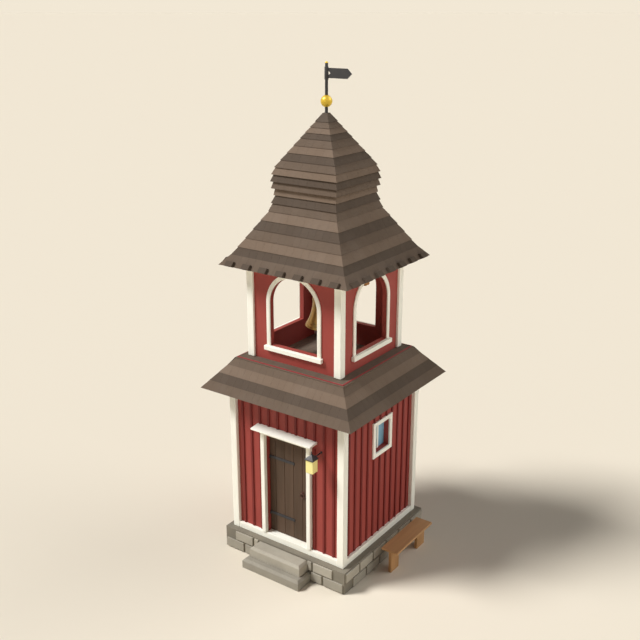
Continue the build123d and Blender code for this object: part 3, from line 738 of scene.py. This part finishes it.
def build_ring():
    """The pull ring, and the plate with the lug that it hangs from."""
    low, high = corners("door_ring")
    centre = (low + high) / 2
    wire = (high.y - low.y) / 2
    radius = (high.x - low.x) / 2 - wire
    ring = Shape()
    around, across = 48, 12
    points, faces = [], []
    for i in range(around):
        turn = 2 * math.pi * i / around
        for j in range(across):
            tilt = 2 * math.pi * j / across
            reach = radius + wire * math.cos(tilt)
            points.append(centre + Vector((reach * math.cos(turn), wire * math.sin(tilt),
                                           reach * math.sin(turn))))
            after, next_j = (i + 1) % around, (j + 1) % across
            faces.append((i * across + j, after * across + j, after * across + next_j,
                          i * across + next_j))
    ring.add(points, faces)
    stand_in("pull_ring", ring, LOOKS["brown_iron"], "door_ring", smooth=True)
    stand_in("ring_plate", eased_copy("ring_boss", 0.001), LOOKS["brown_iron"], "ring_boss")


def build_doorway():
    stand_in("jambs", eased_copy("door_jambs", 0.006), LOOKS["white_wood"], "door_jambs")
    stand_in("door_sill", eased_copy("threshold", 0.006), LOOKS["white_wood_level"], "threshold")
    build_hood()
    build_leaf()
    build_straps()
    build_ring()


# Lantern

def build_lantern():
    """Frosted panes on a base tray, under a pyramid cap with a spike, on an arm."""
    low, high = corners("lantern_body")
    middle = (low + high) / 2
    panes = Shape()
    panes.board(low + Vector((0.002, 0.002, 0.010)), high - Vector((0.002, 0.002, 0.0)), 0.002)
    stand_in("lantern_panes", panes, lamp_glass("lamp_panes", middle), "lantern_body")
    tray = Shape()
    inset = Vector((0.012, 0.012, 0.0))
    tray.board(low + inset, Vector((high.x, high.y, low.z + 0.012)) - inset, 0.003)
    add_piece("lantern_base", tray, LOOKS["iron"], "lantern_cap")
    cap = eased_copy("lantern_cap", 0.002)
    peak = corners("lantern_cap")[1].z
    spike = [(0.0, 0.050), (0.004, 0.046), (0.006, 0.034), (0.010, 0.028), (0.011, 0.020),
             (0.008, 0.014), (0.014, 0.006), (0.015, -0.004), (0.0, -0.004)]
    cap.lathe(spike, (middle.x, middle.y, peak), 16)
    stand_in("lantern_roof", cap, LOOKS["iron"], "lantern_cap")
    stand_in("lantern_bracket", eased_copy("lantern_arm", 0.002), LOOKS["iron"], "lantern_arm")


# Window

def build_window():
    """Four casing boards that butt at the corners, a mullion, and the pane."""
    low, high = corners("window_frame")
    pane_low, pane_high = corners("window_glass")
    casing = Shape()
    for start, end in (((low.y, low.z), (high.y, pane_low.z)), ((low.y, pane_high.z),
                       (high.y, high.z)), ((low.y, pane_low.z), (pane_low.y, pane_high.z)),
                       ((pane_high.y, pane_low.z), (high.y, pane_high.z))):
        casing.board((low.x, start[0], start[1]), (high.x, end[0], end[1]), 0.005)
    stand_in("window_casing", casing, LOOKS["white_wood"], "window_frame")
    stand_in("mullion", eased_copy("window_mullion", 0.004), LOOKS["white_wood"],
             "window_mullion")
    paint_node("window_glass", LOOKS["glass"])


# Roofs

def shingle_edges(half, chance):
    """Where the joints of a course are, for a side that is this wide at its top."""
    count = max(1, round(2 * half / SHINGLE_WIDE))
    wide = 2 * half / count
    joints = [-half + wide * (number + 0.5 + chance.uniform(-0.12, 0.12))
              for number in range(count)]
    return [joint for joint in joints if abs(joint) < half - 0.02]


def add_course(shape, section, tone, chance):
    """A row of shingles round the four sides, mitred at the hips.

    The section is the row's (distance out, height) outline.
    """
    inner = min(out for out, _ in section)
    for place in SIDES:
        joints = shingle_edges(inner, chance)
        starts = [None, *joints]
        ends = [*joints, None]
        for start, end in zip(starts, ends):
            def outline(edge, sign):
                shift = sign * SHINGLE_GAP / 2
                return [(sign * out if edge is None else edge - shift, -out, height)
                        for out, height in section]
            left, right = outline(start, -1), outline(end, 1)
            shape.prism(lambda side: right if side else left, 0, 1,
                        tone + chance.uniform(-0.025, 0.025), place)


def butt_depth(slope):
    """How far a course's lower edge stands out over the next; slope is run over rise."""
    return max(BUTT_LEAST, BUTT_UPRIGHT - BUTT_PER_SLOPE * slope)


def build_helm():
    tree = faces_of("helm_sides")
    low, high = corners("helm_sides")
    heights = [low.z]
    for count, rise in HELM_COURSES:
        heights += [heights[-1] + rise * (number + 1) for number in range(count)]
    heights[-1] = high.z
    tips = [(half_width(tree, min(max(height, low.z + 1e-4), high.z - 1e-4)), height)
            for height in heights]
    roof = Shape()
    chance = random.Random(13)
    for number, (tip, above) in enumerate(zip(tips, tips[1:])):
        slope = (tip[0] - above[0]) / (above[1] - tip[1])
        depth = butt_depth(slope) if number else -EAVE_BOARD_PROUD
        top = above[0] - depth
        lean = (tip[0] - top) / (above[1] - tip[1])
        inner = top - lean * COURSE_LAP
        head = above[1] + COURSE_LAP
        section = [tip, (inner, head), (inner - 0.02, head),
                   (tip[0] - COURSE_THICK, tip[1] - 0.012 * (number > 0))]
        add_course(roof, section, COURSE_TONES[number % 3], chance)
    add_eave_blocks(roof, tips[0], tips[1])
    stand_in("helm_shingles", roof, LOOKS["shingles"], "helm_sides", "helm_front_back")
    build_helm_lining(tips)
    stand_in("helm_top", eased_copy("helm_cap", 0.004), LOOKS["cap_shingles"], "helm_cap")


def add_eave_blocks(roof, tip, above):
    """Blocks that lie on the lowest course with their feet at its edge."""
    edge = Vector(tip)
    along = (Vector(above) - edge).normalized()
    outwards = Vector((along.y, -along.x)) * EAVE_BLOCK_PROUD
    foot = edge + outwards - along * EAVE_BLOCK_OVER
    section = [edge - outwards * 0.1, foot, foot + along * EAVE_BLOCK_LONG,
               edge + along * EAVE_BLOCK_LONG - outwards * 0.1]
    for place in SIDES:
        for number in range(EAVE_BLOCKS):
            middle = (number - (EAVE_BLOCKS - 1) / 2) * EAVE_BLOCK_PITCH
            # The darker tone of the blocks is painted shade on their fronts
            roof.prism(lambda side: [(middle + side, -out, height) for out, height in section],
                       -EAVE_BLOCK_WIDE / 2, EAVE_BLOCK_WIDE / 2, EAVE_BLOCK_PAINTED_SHADE, place)


def build_helm_lining(tips):
    """The boarding inside the helm, which also closes the eave from below."""
    lining = Shape()
    outside = [(out - COURSE_THICK, height) for out, height in tips]
    inside = [(max(out - HELM_LINING_DEEP, 0.02), height) for out, height in tips]
    section = outside + list(reversed(inside))
    # The lining is made darker: painted shade under the eave
    for place in SIDES:
        lining.prism(lambda side: [(side * out, -out, height) for out, height in section],
                     -1, 1, -0.3, place)
    add_piece("helm_lining", lining, LOOKS["shingles"], "helm_sides")


def build_skirt():
    """Courses up the slope, a red strip along the crease and a row on the flatter top."""
    low, high = corners("skirt_sides")
    tree = faces_of("skirt_sides")
    post = corners("belfry_posts")[1].x
    deck_z = high.z
    crease = tree.ray_cast(Vector((FAR, 0.0, low.z + 0.5)), Vector((-1.0, 0.0, 0.0)))[0]
    foot = Vector((high.x, 0.0, low.z))
    slope = (foot.x - crease.x) / (crease.z - foot.z)
    crease_z = crease_height(tree, low)
    crease_out = foot.x - slope * (crease_z - foot.z)
    rise = (crease_z - low.z) / SKIRT_COURSES
    roof = Shape()
    chance = random.Random(17)
    for number in range(SKIRT_COURSES):
        bottom = low.z + rise * number
        tip = (foot.x - slope * (bottom - low.z), bottom)
        above = (foot.x - slope * (bottom + rise - low.z), bottom + rise)
        inner = above[0] - SKIRT_BUTT
        thick = 0.06 if number == 0 else 0.03
        section = [tip, (inner, above[1] + 0.004), (inner - 0.03, above[1] + 0.004),
                   (tip[0] - thick, tip[1])]
        add_course(roof, section, COURSE_TONES[number % 3], chance)
    deck = [(crease_out - 0.004, crease_z - 0.004), (post - 0.07, deck_z),
            (post - 0.07, deck_z - 0.03), (crease_out - 0.03, crease_z - 0.03)]
    add_course(roof, deck, COURSE_TONES[1] * 0.6, chance)
    stand_in("skirt_shingles", roof, LOOKS["shingles"], "skirt_sides", "skirt_front_back")
    strip = Shape()
    section = [(crease_out + 0.004, crease_z - 0.014), (crease_out - 0.001, crease_z + 0.003),
               (crease_out - 0.018, crease_z + 0.006), (crease_out - 0.018, crease_z - 0.014)]
    for place in SIDES:
        strip.prism(lambda side: [(side * out, -out, height) for out, height in section],
                    -1, 1, 0.0, place)
    add_piece("skirt_strip", strip, LOOKS["strip"], "front_wall_left")
    build_skirt_lining(foot, crease_out, crease_z, slope)


def crease_height(tree, low):
    """The height at which the slope turns into the flatter top."""
    foot, middle = low.z + 0.01, low.z + 0.3
    slope = (half_width(tree, foot) - half_width(tree, middle)) / (middle - foot)
    height = middle
    while half_width(tree, height + 0.002) > half_width(tree, middle) - slope * (
            height + 0.002 - middle) - 0.002:
        height += 0.002
    return height


def build_skirt_lining(foot, crease_out, crease_z, slope):
    """The soffit boards under the slope."""
    lining = Shape()
    wall = corners("right_wall")[1].x
    inner_z = foot.z + (foot.x - SKIRT_LINING_DEEP - wall) / slope
    section = [(foot.x - 0.05, foot.z), (crease_out - 0.04, crease_z - 0.012),
               (wall - 0.02, crease_z - 0.012), (wall - 0.02, inner_z),
               (foot.x - SKIRT_LINING_DEEP, foot.z)]
    # The soffit is made darker: painted shade under the slope
    for place in SIDES:
        lining.prism(lambda side: [(side * out, -out, height) for out, height in section],
                     -1, 1, -0.1, place)
    add_piece("skirt_soffit", lining, LOOKS["shingles"], "skirt_sides")


# Belfry

def build_belfry():
    paint_node("belfry_walls", LOOKS["red_boards"])
    stand_in("belfry_corner_posts", eased_copy("belfry_posts", 0.008), LOOKS["white_wood"],
             "belfry_posts")
    stand_in("arch_casings", eased_copy("arch_trims", 0.006), LOOKS["white_wood"], "arch_trims",
             smooth=True)
    stand_in("arch_sills", eased_copy("belfry_sills", 0.008), LOOKS["white_wood_level"],
             "belfry_sills")
    build_floor("belfry_floor", "belfry_boards")
    stand_in("ceiling", eased_copy("belfry_ceiling", 0.004), LOOKS["white_wood_level"],
             "belfry_ceiling")
    for node in ("bell_carriers", "bell_beam"):
        stand_in(node + "_timber", eased_copy(node, 0.006), LOOKS["beam_wood"], node)
    for node in ("bell_bracket", "bell_hanger"):
        stand_in(node + "_iron", eased_copy(node, 0.002), LOOKS["iron"], node)
    build_bell()


def build_bell():
    """The bell turned about its axis: the CAD model's sides with raised bands and a lip."""
    low, high = corners("bell")
    tree = faces_of("bell")
    rise = high.z - low.z
    steps = 40
    outer = []
    for step in range(steps + 1):
        height = low.z + rise * (0.001 + 0.997 * step / steps)
        outer.append((half_width(tree, height), height))
    bands = ((0.06, 0.012, 0.007), (0.13, 0.008, 0.004), (0.74, 0.010, 0.005), (0.80, 0.007, 0.004))
    fine = []
    for (radius, height), (after, above) in zip(outer, outer[1:]):
        for part in range(4):
            share = part / 4
            fine.append((radius + (after - radius) * share, height + (above - height) * share))
    fine.append(outer[-1])
    profile = []
    for radius, height in fine:
        extra = 0.0
        for share, half, out in bands:
            near = abs(height - low.z - share * rise) / half
            extra += out * math.sqrt(1 - near * near) if near < 1 else 0.0
        profile.append((radius + extra, height))
    wall = 0.022
    inside = [(max(radius - wall, 0.0), min(height, high.z - wall)) for radius, height in outer]
    inside = [(inside[0][0], low.z)] + inside[1:] + [(0.0, high.z - wall)]
    loop = list(reversed(inside)) + profile + [(0.0, high.z)]
    bell = Shape()
    bell.lathe(loop, (0, 0, 0), 72)
    stand_in("bell_casting", bell, LOOKS["bronze"], "bell", smooth=True)


# Finial and vane

def build_finial():
    low, high = corners("finial_ball")
    middle, radius = (low.z + high.z) / 2, (high.z - low.z) / 2
    collar = 0.034
    profile = [(0.0, -radius + 0.001)]
    profile += [(radius * math.cos(math.radians(angle)), radius * math.sin(math.radians(angle)))
                for angle in range(-70, 71, 5)]
    profile += [(collar, radius * 0.955), (collar, radius), (0.0, radius)]
    ball = Shape()
    ball.lathe(profile, (0, 0, middle), 64)
    stand_in("finial_globe", ball, LOOKS["gilding"], "finial_ball", smooth=True)
    stand_in("finial_spindle", eased_copy("finial_rod", 0.001), LOOKS["iron"], "finial_rod",
             smooth=True)
    stand_in("finial_point", eased_copy("finial_tip", 0.0005), LOOKS["gilding"], "finial_tip",
             smooth=True)
    stand_in("pennant", eased_copy("vane", 0.0012), LOOKS["iron"], "vane")


# Bench

def build_bench():
    stand_in("bench_plank", eased_copy("bench_seat", 0.008), LOOKS["bench_wood"], "bench_seat")
    stand_in("bench_uprights", eased_copy("bench_legs", 0.006), LOOKS["bench_leg_wood"],
             "bench_legs")


# Stage, lights and camera

def build_ground():
    """A plain floor that reaches the horizon."""
    mesh = bpy.data.meshes.new("ground")
    outline = [(-1, -1), (1, -1), (1, 1), (-1, 1)]
    mesh.from_pydata([(x * FLOOR_REACH, y * FLOOR_REACH, 0.0) for x, y in outline], [],
                     [(0, 1, 2, 3)])
    ground = bpy.data.objects.new("ground", mesh)
    bpy.context.scene.collection.objects.link(ground)
    material = bpy.data.materials.new("ground")
    material.use_nodes = True
    shader = material.node_tree.nodes["Principled BSDF"]
    shader.inputs["Base Color"].default_value = (*display(230, 220, 202), 1.0)
    shader.inputs["Roughness"].default_value = 0.95
    shader.inputs["Specular IOR Level"].default_value = 0.0
    mesh.materials.append(material)


def add_sun(name, azimuth, elevation, strength, softness):
    """A distant lamp; azimuth is the way to it, anticlockwise from +X."""
    lamp = bpy.data.lights.new(name, "SUN")
    lamp.energy = strength
    lamp.angle = math.radians(softness)
    sun = bpy.data.objects.new(name, lamp)
    bpy.context.scene.collection.objects.link(sun)
    turn, lift = math.radians(azimuth), math.radians(elevation)
    towards = Vector((math.cos(turn) * math.cos(lift), math.sin(turn) * math.cos(lift),
                      math.sin(lift)))
    sun.rotation_euler = towards.to_track_quat("Z", "Y").to_euler()


def build_lights():
    for settings in SUNS:
        add_sun(*settings)


def build_world():
    """A faint even light, and a pale backdrop that only the camera and reflections see."""
    world = bpy.data.worlds.new("studio")
    world.use_nodes = True
    nodes, links = world.node_tree.nodes, world.node_tree.links
    glow = nodes["Background"]
    glow.inputs["Color"].default_value = (*display(250, 246, 238), 1.0)
    glow.inputs["Strength"].default_value = GLOW_STRENGTH
    backdrop = nodes.new("ShaderNodeBackground")
    backdrop.inputs["Color"].default_value = (*display(242, 232, 213), 1.0)
    rays = nodes.new("ShaderNodeLightPath").outputs
    seen = rays["Is Camera Ray"]
    for kind in ("Is Glossy Ray", "Is Transmission Ray"):
        either = nodes.new("ShaderNodeMath")
        either.operation = "MAXIMUM"
        links.new(seen, either.inputs[0])
        links.new(rays[kind], either.inputs[1])
        seen = either.outputs[0]
    mix = nodes.new("ShaderNodeMixShader")
    links.new(seen, mix.inputs[0])
    links.new(glow.outputs[0], mix.inputs[1])
    links.new(backdrop.outputs[0], mix.inputs[2])
    links.new(mix.outputs[0], nodes["World Output"].inputs["Surface"])
    bpy.context.scene.world = world


def build_camera():
    data = bpy.data.cameras.new("camera")
    data.lens = CAMERA_LENS
    camera = bpy.data.objects.new("camera", data)
    bpy.context.scene.collection.objects.link(camera)
    camera.location = CAMERA_AT
    camera.rotation_euler = (math.radians(90 - CAMERA_PITCH), 0.0, math.radians(CAMERA_AZIMUTH))
    bpy.context.scene.camera = camera


build_plinth()
build_steps()
build_lower_storey()
build_doorway()
build_lantern()
build_window()
build_skirt()
build_belfry()
build_helm()
build_finial()
build_bench()
build_ground()
build_lights()
build_world()
build_camera()
bpy.context.scene.view_settings.view_transform = "Standard"

bpy.context.view_layer.update()
